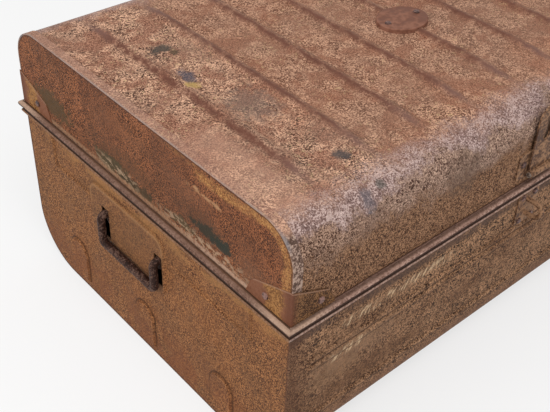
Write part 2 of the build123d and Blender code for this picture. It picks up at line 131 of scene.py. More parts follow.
def wander(value, at, scale, by, detail=5.0, rough=0.7):
    """The value pushed to and fro by a cloud, so that an edge drawn from it is ragged."""
    return scaled(swing(cloud(at, scale, detail, rough)), by, value)


def moved(vector, place=(0, 0, 0), scale=(1, 1, 1)):
    return add("ShaderNodeMapping", {"Vector": vector, "Location": place, "Scale": scale}).outputs[0]


def split(vector):
    return add("ShaderNodeSeparateXYZ", {0: vector}).outputs


def joined(x, y, z=0.0):
    return add("ShaderNodeCombineXYZ", {0: x, 1: y, 2: z}).outputs[0]


def vector_maths(operation, first, second=(0, 0, 0)):
    return add("ShaderNodeVectorMath", {0: first, 1: second}, operation=operation).outputs


def length(vector):
    return vector_maths("LENGTH", vector)[1]


def start_group(name, inputs, outputs):
    """An empty effect with named sockets. Returns its input values and its output sockets."""
    tree = bpy.data.node_groups.new(name, "ShaderNodeTree")
    for label, kind, value in inputs:
        socket = tree.interface.new_socket(label, in_out="INPUT", socket_type="NodeSocket" + kind)
        socket.default_value = value
    for label, kind in outputs:
        tree.interface.new_socket(label, in_out="OUTPUT", socket_type="NodeSocket" + kind)
    return tree.nodes.new("NodeGroupInput").outputs, tree.nodes.new("NodeGroupOutput").inputs


def close_group(out, results):
    """Links the results to the effect's output sockets. Returns the effect."""
    for label, value in results.items():
        tree = value.id_data
        tree.links.new(value, out[label])
    return tree


def place_group(group, sockets):
    return add("ShaderNodeGroup", sockets, node_tree=group).outputs


# ---------------------------------------------------------------- shared effects

at_input = ("Vector", "Vector", (0, 0, 0))


def make_patches():
    """Ragged patches: how much of the surface they cover and how soft their edges are."""
    given, out = start_group(
        "patches",
        [at_input, ("Scale", "Float", 20.0), ("Cover", "Float", 0.5), ("Edge", "Float", 0.08),
         ("Ragged", "Float", 0.65)],
        [("Mask", "Float")])
    grain = cloud(given["Vector"], given["Scale"], 6.0, given["Ragged"], 0.3)
    bare, full = 0.66, 0.34             # the grain's levels at no cover and at full cover
    level = minus(bare, times(given["Cover"], bare - full))
    return close_group(out, {"Mask": ramp(grain, minus(level, given["Edge"]), plus(level, given["Edge"]))})


def make_strip():
    """A straight band across the surface: 1 on its middle line, fading over its soft edge."""
    given, out = start_group(
        "strip",
        [("Value", "Float", 0.0), ("Middle", "Float", 0.0), ("Half width", "Float", 0.01),
         ("Soft", "Float", 0.002)],
        [("Mask", "Float")])
    away = mirrored(minus(given["Value"], given["Middle"]))
    far = plus(given["Half width"], given["Soft"])
    near = minus(given["Half width"], given["Soft"])
    return close_group(out, {"Mask": ramp(away, far, near)})


def make_spot():
    """One ragged stain at a place, with its own reach along each axis."""
    given, out = start_group(
        "spot",
        [at_input, ("Centre", "Vector", (0, 0, 0)), ("Reach", "Vector", (0.01, 0.01, 0.01)),
         ("Ragged", "Float", 0.9), ("Soft", "Float", 0.45)],
        [("Mask", "Float")])
    off = vector_maths("SUBTRACT", given["Vector"], given["Centre"])[0]
    unit = vector_maths("DIVIDE", off, given["Reach"])[0]
    edge = wander(length(unit), given["Vector"], 130.0, times(given["Ragged"], 4.0), 5.0, 0.75)
    return close_group(out, {"Mask": ramp(edge, plus(1.0, given["Soft"]), minus(1.0, given["Soft"]))})


def make_flaked():
    """Old paint and rust broken up at three sizes: dark pits, a ground, light flakes and fine cracks."""
    given, out = start_group(
        "flaked paint",
        [at_input, ("Pit", "Color", (0.08, 0.04, 0.02, 1)), ("Ground", "Color", (0.2, 0.1, 0.06, 1)),
         ("Flake", "Color", (0.5, 0.3, 0.2, 1)), ("Scale", "Float", 430.0), ("Fine", "Float", 1.0),
         ("Blotch", "Float", 0.6), ("Drift", "Float", 0.4), ("Pits", "Float", 0.0), ("Flakes", "Float", 0.0),
         ("Cracks", "Float", 0.0)],
        [("Color", "Color"), ("Height", "Float")])
    at, scale = given["Vector"], given["Scale"]
    fine = cloud(at, scale, 1.4, 0.6, 0.1)
    blotch = cloud(moved(at, (3.1, 1.7, 0.4)), times(scale, 0.3), 3.0, 0.65, 0.9)
    drift = cloud(moved(at, (1.2, 5.1, 2.2)), times(scale, 0.07), 4.0, 0.6, 0.5)
    value = 0.5
    for part, weight in ((fine, "Fine"), (blotch, "Blotch"), (drift, "Drift")):
        value = scaled(swing(part), times(given[weight], 2.0), value)
    fade, reach = 0.22, 0.2             # how soft a level is, and how far "Pits" and "Flakes" move it
    pit_at = scaled(given["Pits"], reach, 0.36)
    pit = ramp(value, plus(pit_at, fade), minus(pit_at, fade))
    flake_at = scaled(given["Flakes"], -reach, 0.64)
    flake = ramp(value, minus(flake_at, fade), plus(flake_at, fade))
    colour = blend(pit, blend(flake, given["Ground"], given["Flake"]), given["Pit"])
    # light cracks where the drift is low, dark ones where it is high
    for shade, start, size, low, high in (("Flake", (4.2, 0.9, 0.3), 0.40, 0.60, 0.46),
                                          ("Pit", (2.2, 0.4, 1.9), 0.32, 0.42, 0.56)):
        vein = cloud(moved(at, start), times(scale, size), 2.0, 0.6, 1.0)
        line = ramp(mirrored(swing(vein)), 0.09, 0.03)
        colour = blend(times(line, given["Cracks"], ramp(drift, low, high)), colour, given[shade])
    return close_group(out, {"Color": colour, "Height": scaled(minus(flake, pit), 0.5, 0.5)})


def make_inset():
    """How far a point of an end-on outline lies inside its rounded edge, in metres."""
    given, out = start_group(
        "edge inset",
        [("Across", "Float", 0.0), ("Up", "Float", 0.0), ("Half", "Float", lap_depth),
         ("Round", "Float", lid_roll)],
        [("Inset", "Float")])
    side = minus(mirrored(given["Across"]), minus(given["Half"], given["Round"]))
    top = plus(given["Up"], given["Round"])
    out_by = length(joined(larger(side, 0.0), larger(top, 0.0)))
    within = maths("MINIMUM", larger(side, top), 0.0)
    return close_group(out, {"Inset": minus(given["Round"], plus(out_by, within))})


def make_inner():
    """1 on the faces that look towards the middle point, 0 on the outside."""
    given, out = start_group(
        "inner face",
        [at_input, ("Normal", "Vector", (0, 0, 1)), ("Middle", "Vector", body_middle)],
        [("Mask", "Float")])
    off = vector_maths("SUBTRACT", given["Vector"], given["Middle"])[0]
    facing = vector_maths("DOT_PRODUCT", off, given["Normal"])[1]
    return close_group(out, {"Mask": ramp(facing, 0.012, -0.012)})


patches = make_patches()
strip = make_strip()
spot = make_spot()
flaked = make_flaked()
inset = make_inset()
inner_face = make_inner()


def band(value, middle, half, soft):
    return place_group(strip, {"Value": value, "Middle": middle, "Half width": half, "Soft": soft})["Mask"]


def patchy(at, scale, cover, edge=0.05, start=(0, 0, 0)):
    at = moved(at, start)
    return place_group(patches, {"Vector": at, "Scale": scale, "Cover": cover, "Edge": edge})["Mask"]


def stained(colour, at, stains, soft=0.45):
    """The colour with single stains on it, each a centre, a reach, a colour and a strength."""
    for centre, reach, shade, amount in stains:
        mark = place_group(spot, {"Vector": at, "Centre": centre, "Reach": reach, "Soft": soft})["Mask"]
        colour = blend(times(mark, amount), colour, paint(*shade))
    return colour


def flake_coat(at, pit, ground, flake, scale, fine, blotch, drift,
               pits=0.0, flakes=0.0, cracks=0.0, start=(0, 0, 0)):
    """One flaked coat: three colours, the grain's scale, the weight of each size of grain, and extras."""
    return place_group(flaked, {
        "Vector": moved(at, start), "Pit": paint(*pit), "Ground": paint(*ground), "Flake": paint(*flake),
        "Scale": scale, "Fine": fine, "Blotch": blotch, "Drift": drift,
        "Pits": pits, "Flakes": flakes, "Cracks": cracks})


def inner_mask(at, normal, middle):
    return place_group(inner_face, {"Vector": at, "Normal": normal, "Middle": middle})["Mask"]


def lining(at, pale=(120, 90, 70)):
    """The dull brown of the inside."""
    return blend(cloud(at, 25.0, 6.0, 0.65), paint(84, 62, 50), paint(*pale))


# ---------------------------------------------------------------- coats that more than one piece wears

def make_panel_coat():
    """The lid's flat panels: pinkish flecks and dark pits, broken by smooth rubbed patches."""
    given, out = start_group("panel coat", [at_input], [("Color", "Color"), ("Height", "Float")])
    at = given["Vector"]
    bright = flake_coat(at, (52, 26, 18), (145, 93, 72), (238, 188, 156), 740.0, 4.6, 0.9, 0.4,
                        0.1, 0.05, 0.5)
    dull = flake_coat(at, (56, 28, 19), (133, 79, 59), (220, 163, 132), 740.0, 4.6, 0.9, 0.5, cracks=0.4,
                      start=(0.7, 0.3, 0))
    rubbed = flake_coat(at, (84, 46, 34), (133, 83, 65), (186, 132, 106), 760.0, 3.0, 0.7, 0.5, cracks=0.3,
                        start=(0.4, 0.8, 0))
    broad = patchy(at, 13.0, 0.72, 0.14)
    cluster = patchy(at, 38.0, 0.62, 0.06, (1.3, 0.2, 0))
    colour = blend(broad, dull["Color"], bright["Color"])
    colour = blend(scaled(cluster, 0.75, 0.22), rubbed["Color"], colour)
    cream = patchy(at, 330.0, 0.14, 0.02, (0.2, 0.6, 0))
    cream = times(cream, patchy(at, 16.0, 0.5, 0.08, (0.9, 0.6, 0)), 0.7)
    colour = blend(cream, colour, paint(214, 184, 138))
    grey = patchy(at, 9.0, 0.42, 0.12, (2.4, 0.6, 0))
    colour = blend(times(grey, 0.3), colour, paint(132, 112, 98))
    beyond_first_panels = ramp(split(at)[0], -0.195, -0.165)
    colour = blend(times(beyond_first_panels, 0.25), colour, paint(156, 102, 74))
    relief = blend_height(broad, dull["Height"], bright["Height"])
    return close_group(out, {"Color": colour, "Height": relief})


def make_front_coat():
    """The body's front: dark brown broken by fine flecks, upright streaks, a greyer band under the rim."""
    given, out = start_group("front coat", [at_input], [("Color", "Color"), ("Height", "Float")])
    at = given["Vector"]
    x, _, z = split(at)
    coat = flake_coat(at, (32, 16, 9), (91, 57, 38), (180, 138, 105), 760.0, 3.9, 0.8, 0.7, cracks=0.5)
    big = cloud(moved(at, scale=(0.6, 1, 1.4)), 10.0, 6.0, 0.62)
    colour = blend(times(ramp(big, 0.44, 0.62), 0.35), coat["Color"], paint(98, 66, 46))
    runs = cloud(moved(at, scale=(1, 1, 0.10)), 260.0, 5.0, 0.75)
    colour = blend(times(ramp(runs, 0.52, 0.66), 0.40), colour, paint(84, 56, 38))
    pale_runs = cloud(moved(at, (0.4, 0.2, 0), (1, 1, 0.12)), 230.0, 5.0, 0.75)
    colour = blend(times(ramp(pale_runs, 0.54, 0.68), 0.35), colour, paint(154, 120, 92))
    under_rim = times(ramp(z, 0.1585, 0.1635), ramp(cloud(at, 40.0, 4.0, 0.6), 0.25, 0.5))
    colour = blend(times(under_rim, 0.75), colour, paint(82, 63, 55))
    corner = ramp(mirrored(x), 0.268, 0.292)
    colour = blend(times(corner, 0.55), colour, paint(88, 57, 40))
    return close_group(out, {"Color": colour, "Height": coat["Height"]})


bead_inputs = [at_input, ("Color", "Color", (0.2, 0.1, 0.05, 1)), ("Light", "Color", (0.4, 0.3, 0.2, 1)),
               ("Dark", "Color", (0.2, 0.1, 0.1, 1))]


def make_lid_bead():
    """Lid's wired bead: rubbed light crest, darker back and painted shade with dirt on the under-side below
    the given height.
    """
    given, out = start_group(
        "lid bead",
        bead_inputs + [("Crest", "Color", (0.5, 0.4, 0.3, 1)), ("Low", "Float", 0.184)],
        [("Color", "Color")])
    at, dark = given["Vector"], given["Dark"]
    x, y, z = split(at)
    grain = cloud(at, 420.0, 4.0, 0.8)
    bead = blend(ramp(grain, 0.40, 0.60), dark, given["Light"])
    worn = ramp(cloud(moved(at, (0.5, 0.5, 0.5)), 50.0, 4.0, 0.7), 0.38, 0.6)
    bead = blend(times(worn, 0.4), bead, dark)
    colour = blend(band(z, lid_bead_middle, lid_bead_half, 0.0003), given["Color"], bead)
    crest = blend(times(ramp(cloud(at, 500.0, 3.0, 0.8), 0.42, 0.58), 0.6), given["Crest"], dark)
    colour = blend(times(band(z, lid_bead_crest, 0.0006, 0.0005), 0.6), colour, crest)
    at_corner = times(ramp(mirrored(x), 0.250, 0.285), ramp(mirrored(y), 0.150, 0.185))
    rubbed = blend(grain, paint(150, 118, 98), paint(226, 194, 168))
    colour = blend(times(band(z, lid_bead_shoulder, 0.0018, 0.0008), at_corner, 0.6), colour, rubbed)
    # painted shade with dirt: below the height Low the bead turns dark, standing in for the shaded groove
    # between the two beads
    under = ramp(z, plus(given["Low"], lid_bead_edge), minus(given["Low"], lid_bead_edge))
    return close_group(out, {"Color": blend(times(under, 0.94), colour, paint(50, 31, 23))})


def make_body_bead():
    """Body's wired bead: painted shade with dirt on top down to the given height, then a rubbed line along
    its outside.
    """
    given, out = start_group("body bead", bead_inputs + [("High", "Float", 0.177)], [("Color", "Color")])
    at = given["Vector"]
    z = split(at)[2]
    bead = blend(ramp(cloud(at, 420.0, 4.0, 0.8), 0.38, 0.62), given["Dark"], given["Light"])
    colour = blend(ramp(z, body_bead_foot, body_bead_side), given["Color"], bead)
    # painted shade with dirt: above the height High the bead's top turns dark, in the shade under the lid's
    # bead
    top = ramp(z, minus(given["High"], body_bead_edge), plus(given["High"], body_bead_edge))
    return close_group(out, {"Color": blend(times(top, 0.94), colour, paint(46, 28, 20))})


panel_coat = make_panel_coat()
front_coat = make_front_coat()
lid_bead = make_lid_bead()
body_bead = make_body_bead()


# ---------------------------------------------------------------- finishes

def start_finish(name, gloss=0.08):
    """An empty finish. Returns it with its shader and the surface's place and direction."""
    finish = bpy.data.materials.new(name)
    finish.use_nodes = True
    tree = finish.node_tree
    tree.nodes.clear()
    shader = tree.nodes.new("ShaderNodeBsdfPrincipled")
    shader.inputs["Specular IOR Level"].default_value = gloss
    add("ShaderNodeOutputMaterial", {0: shader.outputs[0]})
    where = tree.nodes.new("ShaderNodeTexCoord").outputs
    return finish, shader, where["Object"], where["Normal"]


def close_finish(shader, at, colour, rough, height, depth=0.0004, strength=0.6):
    """Links colour and roughness, and raises the surface by soft dents and by the coat's own height."""
    dents = cloud(at, 13.0, 3.0, 0.55)
    bump = add("ShaderNodeBump", {"Strength": 1.0, "Distance": 0.004, "Height": dents}).outputs[0]
    relief = {"Strength": strength, "Distance": depth, "Height": height, "Normal": bump}
    bump = add("ShaderNodeBump", relief).outputs[0]
    for label, value in (("Base Color", colour), ("Roughness", rough), ("Normal", bump)):
        value.id_data.links.new(value, shader.inputs[label])


def paint_ribs(panel, at):
    """Smooth dark rust along the ribs, a little off each rib's middle, painted light on the first rib's far
    slope and a painted shade line along each rib's foot. Returns the colour and the bands.
    """
    x, y, z = split(at)
    pitches_left = 20.5                 # far enough for the remainder to be taken of a value above zero
    across = minus(maths("MODULO", plus(x, rib_pitch * pitches_left), rib_pitch), rib_pitch / 2)
    on_first = band(x, first_rib, rib_reach, 0.010)
    # painted light: a mask over the first rib's steep far slope, which the lamps leave in shade
    far_side_painted_light = times(band(across, 0.0049, 0.0018, 0.0009), ramp(mirrored(y), 0.128, 0.106), on_first)
    across = scaled(on_first, 0.0026, across)
    across = scaled(band(x, second_rib, rib_reach, 0.010), -0.0019, across)
    sway = times(swing(cloud(at, 70.0, 5.0, 0.75)), 0.011)
    on_top = times(ramp(z, 0.2655, 0.2695), ramp(mirrored(y), 0.172, 0.135))

    ridge = times(band(plus(across, sway), -0.0022, 0.0032, 0.0036), on_top)
    rust = blend(cloud(at, 130.0, 6.0, 0.75), paint(74, 43, 33), paint(128, 85, 70))
    rust = blend(times(ramp(mirrored(y), 0.10, 0.15), 0.6), rust, paint(124, 96, 88))
    worn_through = patchy(at, 75.0, 0.34, 0.06, (2.1, 0.6, 0))
    colour = blend(times(ridge, scaled(worn_through, -0.30, 1.0)), panel, rust)
    # painted light lifts the shade on that far slope
    colour = blend(times(far_side_painted_light, on_top, 0.2), colour, paint(224, 170, 140))
    # painted shade: a dark line along each rib's far foot, on the side turned from the light
    foot = band(plus(across, times(sway, 0.5)), 0.0030, 0.0010, 0.0009)
    foot = times(foot, on_top, patchy(at, 26.0, 0.5, 0.08, (4.1, 0.6, 0)))
    return blend(times(foot, 0.35), colour, paint(80, 54, 44)), ridge


def paint_rolls(colour, relief, at):
    """The lid's two rolls: a greyed crest with a painted sheen, then dark and light specks, then brown down
    to the rim.
    """
    x, y, z = split(at)
    sideways = mirrored(y)
    crest = flake_coat(at, (98, 72, 67), (154, 126, 119), (208, 182, 174), 820.0, 1.2, 0.7, 0.7, cracks=0.2,
                       start=(0.8, 0.1, 0.6))
    specks = flake_coat(at, (60, 37, 30), (121, 89, 77), (202, 169, 147), 820.0, 1.2, 0.7, 0.9,
                        0.05, cracks=0.5, start=(0.2, 0.9, 0.1))
    brown_specks = flake_coat(at, (54, 30, 21), (112, 78, 63), (182, 148, 126), 820.0, 3.4, 0.9, 1.0,
                              cracks=0.6, start=(0.1, 0.3, 0.2))
    low = flake_coat(at, (50, 28, 18), (106, 69, 50), (170, 130, 99), 820.0, 2.0, 0.7, 0.7, 0.0, -0.05, 0.4,
                     start=(0.3, 0.4, 0.9))
    # grey paint with a painted sheen: the roll's crest takes a grey-lilac coat that also stands in for the
    # light it catches
    rolled = ramp(wander(sideways, at, 22.0, 0.05), 0.158, 0.186)
    colour = blend(rolled, colour, crest["Color"])
    near_end = ramp(wander(x, at, 30.0, 0.10, 4.0), -0.195, -0.240)
    height = wander(z, at, 26.0, 0.060)
    side = times(ramp(height, 0.263, 0.252), ramp(sideways, 0.165, 0.18))
    colour = blend(side, colour, blend(near_end, specks["Color"], brown_specks["Color"]))
    lower_side = times(ramp(height, 0.245, 0.226), ramp(sideways, 0.18, 0.19))
    colour = blend(lower_side, colour, low["Color"])
    return colour, blend_height(rolled, relief, specks["Height"])


lid_stains = (
    ((-0.2164, 0.0765, 0.272), (0.010, 0.007, 0.03), (70, 66, 60), 0.85),
    ((-0.2090, 0.0640, 0.272), (0.005, 0.004, 0.03), (74, 66, 50), 0.7),
    ((-0.2109, -0.0457, 0.272), (0.020, 0.024, 0.03), (120, 102, 92), 0.55),
    ((-0.2255, 0.0220, 0.272), (0.006, 0.012, 0.03), (84, 82, 92), 0.75),
    ((-0.2316, 0.0080, 0.272), (0.007, 0.005, 0.03), (190, 158, 96), 0.8),
    ((-0.2014, -0.1437, 0.272), (0.0065, 0.0065, 0.03), (82, 74, 72), 0.9),
    ((-0.1967, -0.1834, 0.262), (0.004, 0.004, 0.03), (90, 88, 82), 0.7),
    ((-0.2150, -0.1878, 0.262), (0.006, 0.006, 0.03), (100, 96, 102), 0.6),
    ((-0.1050, -0.1950, 0.240), (0.022, 0.012, 0.02), (98, 78, 66), 0.5),
)


def lid_paint():
    """Lid sheet: flaking pinkish paint on the panels, smooth dark rust on the ribs, greyed front roll with a
    painted sheen.
    """
    finish, shader, at, normal = start_finish("lid_flaked_paint")
    x, y, z = split(at)
    coat = place_group(panel_coat, {"Vector": at})
    colour, ridge = paint_ribs(coat["Color"], at)
    bleached_edge = times(ramp(x, -0.248, -0.262), ramp(y, -0.03, -0.07))
    colour = blend(times(bleached_edge, 0.35), colour, paint(206, 160, 136))
    colour, relief = paint_rolls(colour, coat["Height"], at)
    colour = stained(colour, at, lid_stains)
    colour = place_group(lid_bead, {
        "Vector": at, "Color": colour, "Light": paint(200, 164, 148), "Dark": paint(112, 82, 70),
        "Crest": paint(176, 142, 124), "Low": 0.1840})["Color"]
    # painted shadow: a dark line on the sheet just above the bead's top
    shadow_above_bead = times(band(z, 0.1872, 0.0008, 0.0006), ramp(mirrored(y), 0.19, 0.196))
    colour = blend(times(shadow_above_bead, 0.8), colour, paint(60, 38, 28))

    # the rib hollows slope away from the middle, so they are told by facing down
    upward = split(normal)[2]
    hollow = times(ramp(upward, -0.05, -0.15), ramp(z, 0.24, 0.25))
    inside = larger(times(inner_mask(at, normal, lid_middle), ramp(upward, 0.15, 0.05)), hollow)
    colour = blend(inside, colour, lining(at, (122, 92, 72)))
    rough = scaled(ridge, -0.14, scaled(relief, 0.16, 0.58))
    close_finish(shader, at, colour, rough, times(relief, scaled(ridge, -0.7, 1.0)), 0.0005, 0.8)
    return finish


lid_end_shades = (
    ((-0.298, -0.088, 0.217), (0.03, 0.030, 0.012), (88, 60, 44), 0.6),
    ((-0.298, 0.024, 0.212), (0.03, 0.040, 0.012), (94, 64, 44), 0.6),
    ((-0.298, -0.160, 0.205), (0.03, 0.030, 0.012), (128, 90, 68), 0.4),
    ((-0.298, 0.020, 0.243), (0.03, 0.045, 0.010), (122, 80, 56), 0.35),
    ((-0.298, -0.070, 0.238), (0.03, 0.030, 0.008), (122, 82, 60), 0.35),
)
damp_marks = (
    ((-0.296, -0.099, 0.2125), (0.03, 0.022, 0.0062), (52, 50, 40), 0.9),
    ((-0.296, -0.116, 0.2095), (0.03, 0.012, 0.0066), (50, 52, 44), 0.9),
    ((-0.296, -0.060, 0.1990), (0.03, 0.016, 0.0050), (80, 66, 46), 0.9),
    ((-0.296, 0.042, 0.1995), (0.03, 0.026, 0.0080), (72, 62, 42), 0.9),
    ((-0.296, 0.004, 0.1955), (0.03, 0.030, 0.0050), (66, 54, 38), 0.9),
    ((-0.296, 0.140, 0.2100), (0.03, 0.030, 0.0120), (84, 64, 42), 0.9),
    ((0.296, 0.060, 0.2060), (0.03, 0.036, 0.0090), (66, 60, 46), 0.9),
    ((0.296, -0.090, 0.1980), (0.03, 0.030, 0.0080), (60, 50, 40), 0.9),
)


def ochre_remains(colour, at, within):
    """Yellow paint left along the lid end's front curve, and a thin pale streak below it."""
    y = split(at)[1]
    torn = patchy(moved(at, scale=(1, 0.35, 0.6)), 230.0, 0.5)
    wavy = wander(within, at, 45.0, 0.014)
    line_at = ramp(y, -0.085, -0.165, 0.0115, 0.0055)
    line = band(minus(wavy, line_at), 0.0, 0.0046, 0.0026)
    ochre = times(line, scaled(torn, 0.45, 0.45), ramp(y, -0.076, -0.094))
    gold = blend(ramp(cloud(at, 700.0, 2.0, 0.6), 0.40, 0.62), paint(132, 84, 48), paint(206, 152, 92))
    colour = blend(times(ochre, 0.9), colour, gold)
    thin_line = times(band(wavy, 0.0050, 0.0018, 0.0016), torn, ramp(y, 0.0, -0.09))
    colour = blend(times(thin_line, 0.5), colour, paint(158, 112, 70))
    streak = times(band(wavy, 0.0275, 0.0022, 0.0018), torn, ramp(y, -0.066, -0.078), ramp(y, -0.122, -0.112))
    return blend(times(streak, 0.8), colour, paint(180, 136, 98))


def pale_crust_and_painted_light(colour, at):
    """Light crust that gathers just above the rim of the lid's end, with painted light on the crease above
    the bead, where the sheet lies in shade.
    """
    _, y, z = split(at)
    places = larger(band(y, -0.090, 0.055, 0.03), band(y, 0.035, 0.03, 0.02))
    specks = patchy(moved(at, scale=(1, 0.5, 1)), 240.0, 0.42)
    high_crust = times(band(z, 0.1965, 0.0055, 0.0035), specks, places)
    colour = blend(times(high_crust, 0.75), colour, paint(176, 146, 118))
    # crust with painted light: the band just above the bead is lightened against the shade of the crease
    # there
    crust = times(band(z, 0.1880, 0.0034, 0.0020), scaled(patchy(at, 300.0, 0.62, 0.06), 0.6, 0.4))
    tone = blend(ramp(y, -0.04, -0.10), paint(176, 140, 110), paint(214, 180, 154))
    return blend(times(crust, 0.6), colour, tone)


def worn_lap(colour, at, within):
    """The lid end's folded lap, worn like the sheet beside it, with a painted bluish highlight on its curve,
    a thin light seam and dirt under it.
    """
    x, y, z = split(at)
    side = flake_coat(at, (84, 64, 54), (126, 100, 88), (176, 150, 134), 600.0, 1.2, 0.8, 0.5,
                      start=(0.3, 0.3, 0))
    top = blend(0.45, place_group(panel_coat, {"Vector": at})["Color"], paint(170, 130, 112))
    lap = ramp(within, 0.0016, 0.0007)
    colour = blend(lap, colour, blend(ramp(z, 0.262, 0.268), side["Color"], top))
    on_curve = times(band(z, 0.2625, 0.0050, 0.004), ramp(mirrored(y), 0.15, 0.17))
    # painted highlight: a bluish-grey glint where the lap turns over the roll
    blue_painted_highlight = times(ramp(within, 0.0022, 0.0012), on_curve, ramp(mirrored(x), 0.2925, 0.2955))
    colour = blend(times(blue_painted_highlight, 0.6), colour, paint(124, 124, 128))
    seam = times(band(within, 0.0008, 0.0005, 0.0004), patchy(at, 90.0, 0.5, 0.06), ramp(z, 0.245, 0.262))
    colour = blend(times(seam, 0.5), colour, paint(166, 150, 142))
    on_edge = times(ramp(z, 0.2655, 0.2690), ramp(mirrored(x), 0.2946, 0.2954))
    broken = scaled(patchy(at, 60.0, 0.6, 0.1), 0.6, 0.3)
    rubbed = times(band(within, 0.0006, 0.0007, 0.0004), on_edge, broken)
    colour = blend(times(rubbed, 0.7), colour, paint(158, 142, 134))
    groove = band(within, 0.0021, 0.0006, 0.0005)
    return blend(times(groove, 0.7), colour, paint(72, 44, 32))


def lid_end_rust():
    """Lid's ends: reddish brown, ochre remains under the seam, damp marks, and pale crust with painted light
    above the rim.
    """
    finish, shader, at, normal = start_finish("lid_end_rust")
    _, y, z = split(at)
    coat = flake_coat(at, (24, 11, 7), (70, 34, 18), (166, 106, 71), 740.0, 5.0, 1.3, 1.2, 0.0, -0.16, 0.5)
    redder = patchy(at, 14.0, 0.5, 0.14, (0.4, 0.9, 0.2))
    colour = blend(times(redder, 0.28), coat["Color"], paint(120, 70, 48))
    darker = patchy(at, 24.0, 0.42, 0.10, (1.4, 0.1, 0.7))
    colour = blend(times(darker, 0.35), colour, paint(82, 56, 42))
    colour = stained(colour, at, lid_end_shades)
    within = place_group(inset, {"Across": y, "Up": minus(z, lid_flat)})["Inset"]
    colour = ochre_remains(colour, at, within)
    colour = stained(colour, at, damp_marks, 0.25)
    colour = pale_crust_and_painted_light(colour, at)
    colour = worn_lap(colour, at, within)
    colour = place_group(lid_bead, {
        "Vector": at, "Color": colour, "Light": paint(142, 111, 96), "Dark": paint(90, 64, 52),
        "Crest": paint(136, 106, 90), "Low": 0.1836})["Color"]
    colour = blend(inner_mask(at, normal, lid_middle), colour, lining(at))
    close_finish(shader, at, colour, scaled(coat["Height"], 0.14, 0.56), coat["Height"])
    return finish


def paint_field(colour, at):
    """Greener, smoother field round the handle, with a painted highlight along its upper edge and painted
    shade with dirt round its upper back.
    """
    _, y, z = split(at)
    across = minus(mirrored(minus(y, field_y)), field_straight_y)
    up = minus(mirrored(minus(z, field_z)), field_straight_z)
    from_field = length(joined(larger(across, 0.0), larger(up, 0.0)))
    colour = blend(times(ramp(from_field, 0.0135, 0.0105), 0.35), colour, paint(112, 80, 56))
    # painted shade with dirt along the field's foot, round its upper back
    crease_shade_and_dirt = times(band(from_field, 0.0142, 0.0010, 0.0009), ramp(y, -0.022, 0.0), ramp(z, 0.100, 0.118))
    colour = blend(times(crease_shade_and_dirt, 0.45), colour, paint(80, 52, 36))
    # painted highlight along the field's raised upper edge
    upper_edge = times(band(from_field, 0.0112, 0.0014, 0.0012), ramp(z, 0.12, 0.15))
    return blend(times(upper_edge, 0.5), colour, paint(164, 122, 84))


def paint_arches(colour, at):
    """Painted shade with dirt along the outlines of the three arched pressings."""
    _, y, z = split(at)
    for middle in arch_middles:
        ring = length(joined(mirrored(minus(y, middle)), larger(minus(z, arch_spring), 0.0)))
        # painted shade with dirt in the crease round each pressing
        line = times(band(ring, arch_line, 0.0009, 0.0008), ramp(z, 0.008, 0.012))
        colour = blend(times(line, 0.7), colour, paint(62, 40, 28))
    return colour


def body_end_rust():
    """Body's ends: warm orange brown with darker pressings, streaks that run down and a reddish foot."""
    finish, shader, at, normal = start_finish("body_end_rust")
    _, y, z = split(at)
    coat = flake_coat(at, (60, 32, 18), (107, 65, 39), (172, 120, 79), 820.0, 2.4, 0.6, 0.5, 0.0, -0.05, 0.3)
    warm = patchy(at, 15.0, 0.42, 0.14, (0.4, 0.9, 0.2))
    colour = blend(times(warm, 0.3), coat["Color"], paint(146, 92, 54))
    dull = patchy(at, 22.0, 0.42, 0.12, (1.7, 0.3, 0.9))
    colour = blend(times(dull, 0.3), colour, paint(104, 76, 54))
    runs = cloud(moved(at, scale=(1, 1, 0.09)), 170.0, 5.0, 0.7)
    colour = blend(times(ramp(runs, 0.54, 0.68), 0.4), colour, paint(100, 66, 44))
    foot = times(ramp(z, 0.075, 0.02), patchy(at, 30.0, 0.55, 0.08))
    colour = blend(times(foot, 0.45), colour, paint(118, 68, 44))
    colour = paint_arches(paint_field(colour, at), at)
    under_rim = times(ramp(z, 0.150, 0.166), patchy(moved(at, scale=(1, 0.4, 1)), 60.0, 0.5, 0.06))
    colour = blend(times(under_rim, 0.5), colour, paint(168, 122, 76))
    within = place_group(inset, {"Across": y, "Up": times(z, -1.0), "Round": foot_roll})["Inset"]
    front = place_group(front_coat, {"Vector": at})["Color"]
    colour = blend(ramp(within, 0.0018, 0.0008), colour, front)
    groove = band(within, 0.0016, 0.0009, 0.0007)
    colour = blend(times(groove, 0.55), colour, paint(78, 48, 36))
    colour = place_group(body_bead, {
        "Vector": at, "Color": colour, "Light": paint(156, 118, 92), "Dark": paint(112, 78, 56),
        "High": 0.1769})["Color"]
    colour = blend(inner_mask(at, normal, body_middle), colour, lining(at))
    close_finish(shader, at, colour, scaled(coat["Height"], 0.14, 0.58), coat["Height"])
    return finish


front_shades = (
    ((-0.222, -0.20, 0.114), (0.050, 0.03, 0.016), (142, 110, 86), 0.5),
    ((-0.245, -0.20, 0.098), (0.030, 0.03, 0.012), (136, 104, 78), 0.4),
    ((-0.190, -0.20, 0.076), (0.080, 0.03, 0.010), (96, 66, 46), 0.5),
    ((-0.070, -0.20, 0.092), (0.030, 0.03, 0.012), (92, 62, 44), 0.5),
    ((0.160, -0.20, 0.110), (0.090, 0.03, 0.018), (138, 106, 82), 0.5),
)
# two smears: slope, height, half width, left end and right end
cream_smears = ((0.0, 0.1500, 0.0046, -0.246, -0.090), (-0.040, 0.1180, 0.0050, -0.262, -0.196))
# pressed lines, with painted shade and dirt in their creases: height and how dark each is
pressed_lines = ((0.1265, 0.8), (0.1175, 0.6), (0.1350, 0.4), (0.0560, 0.7), (0.0648, 0.4))


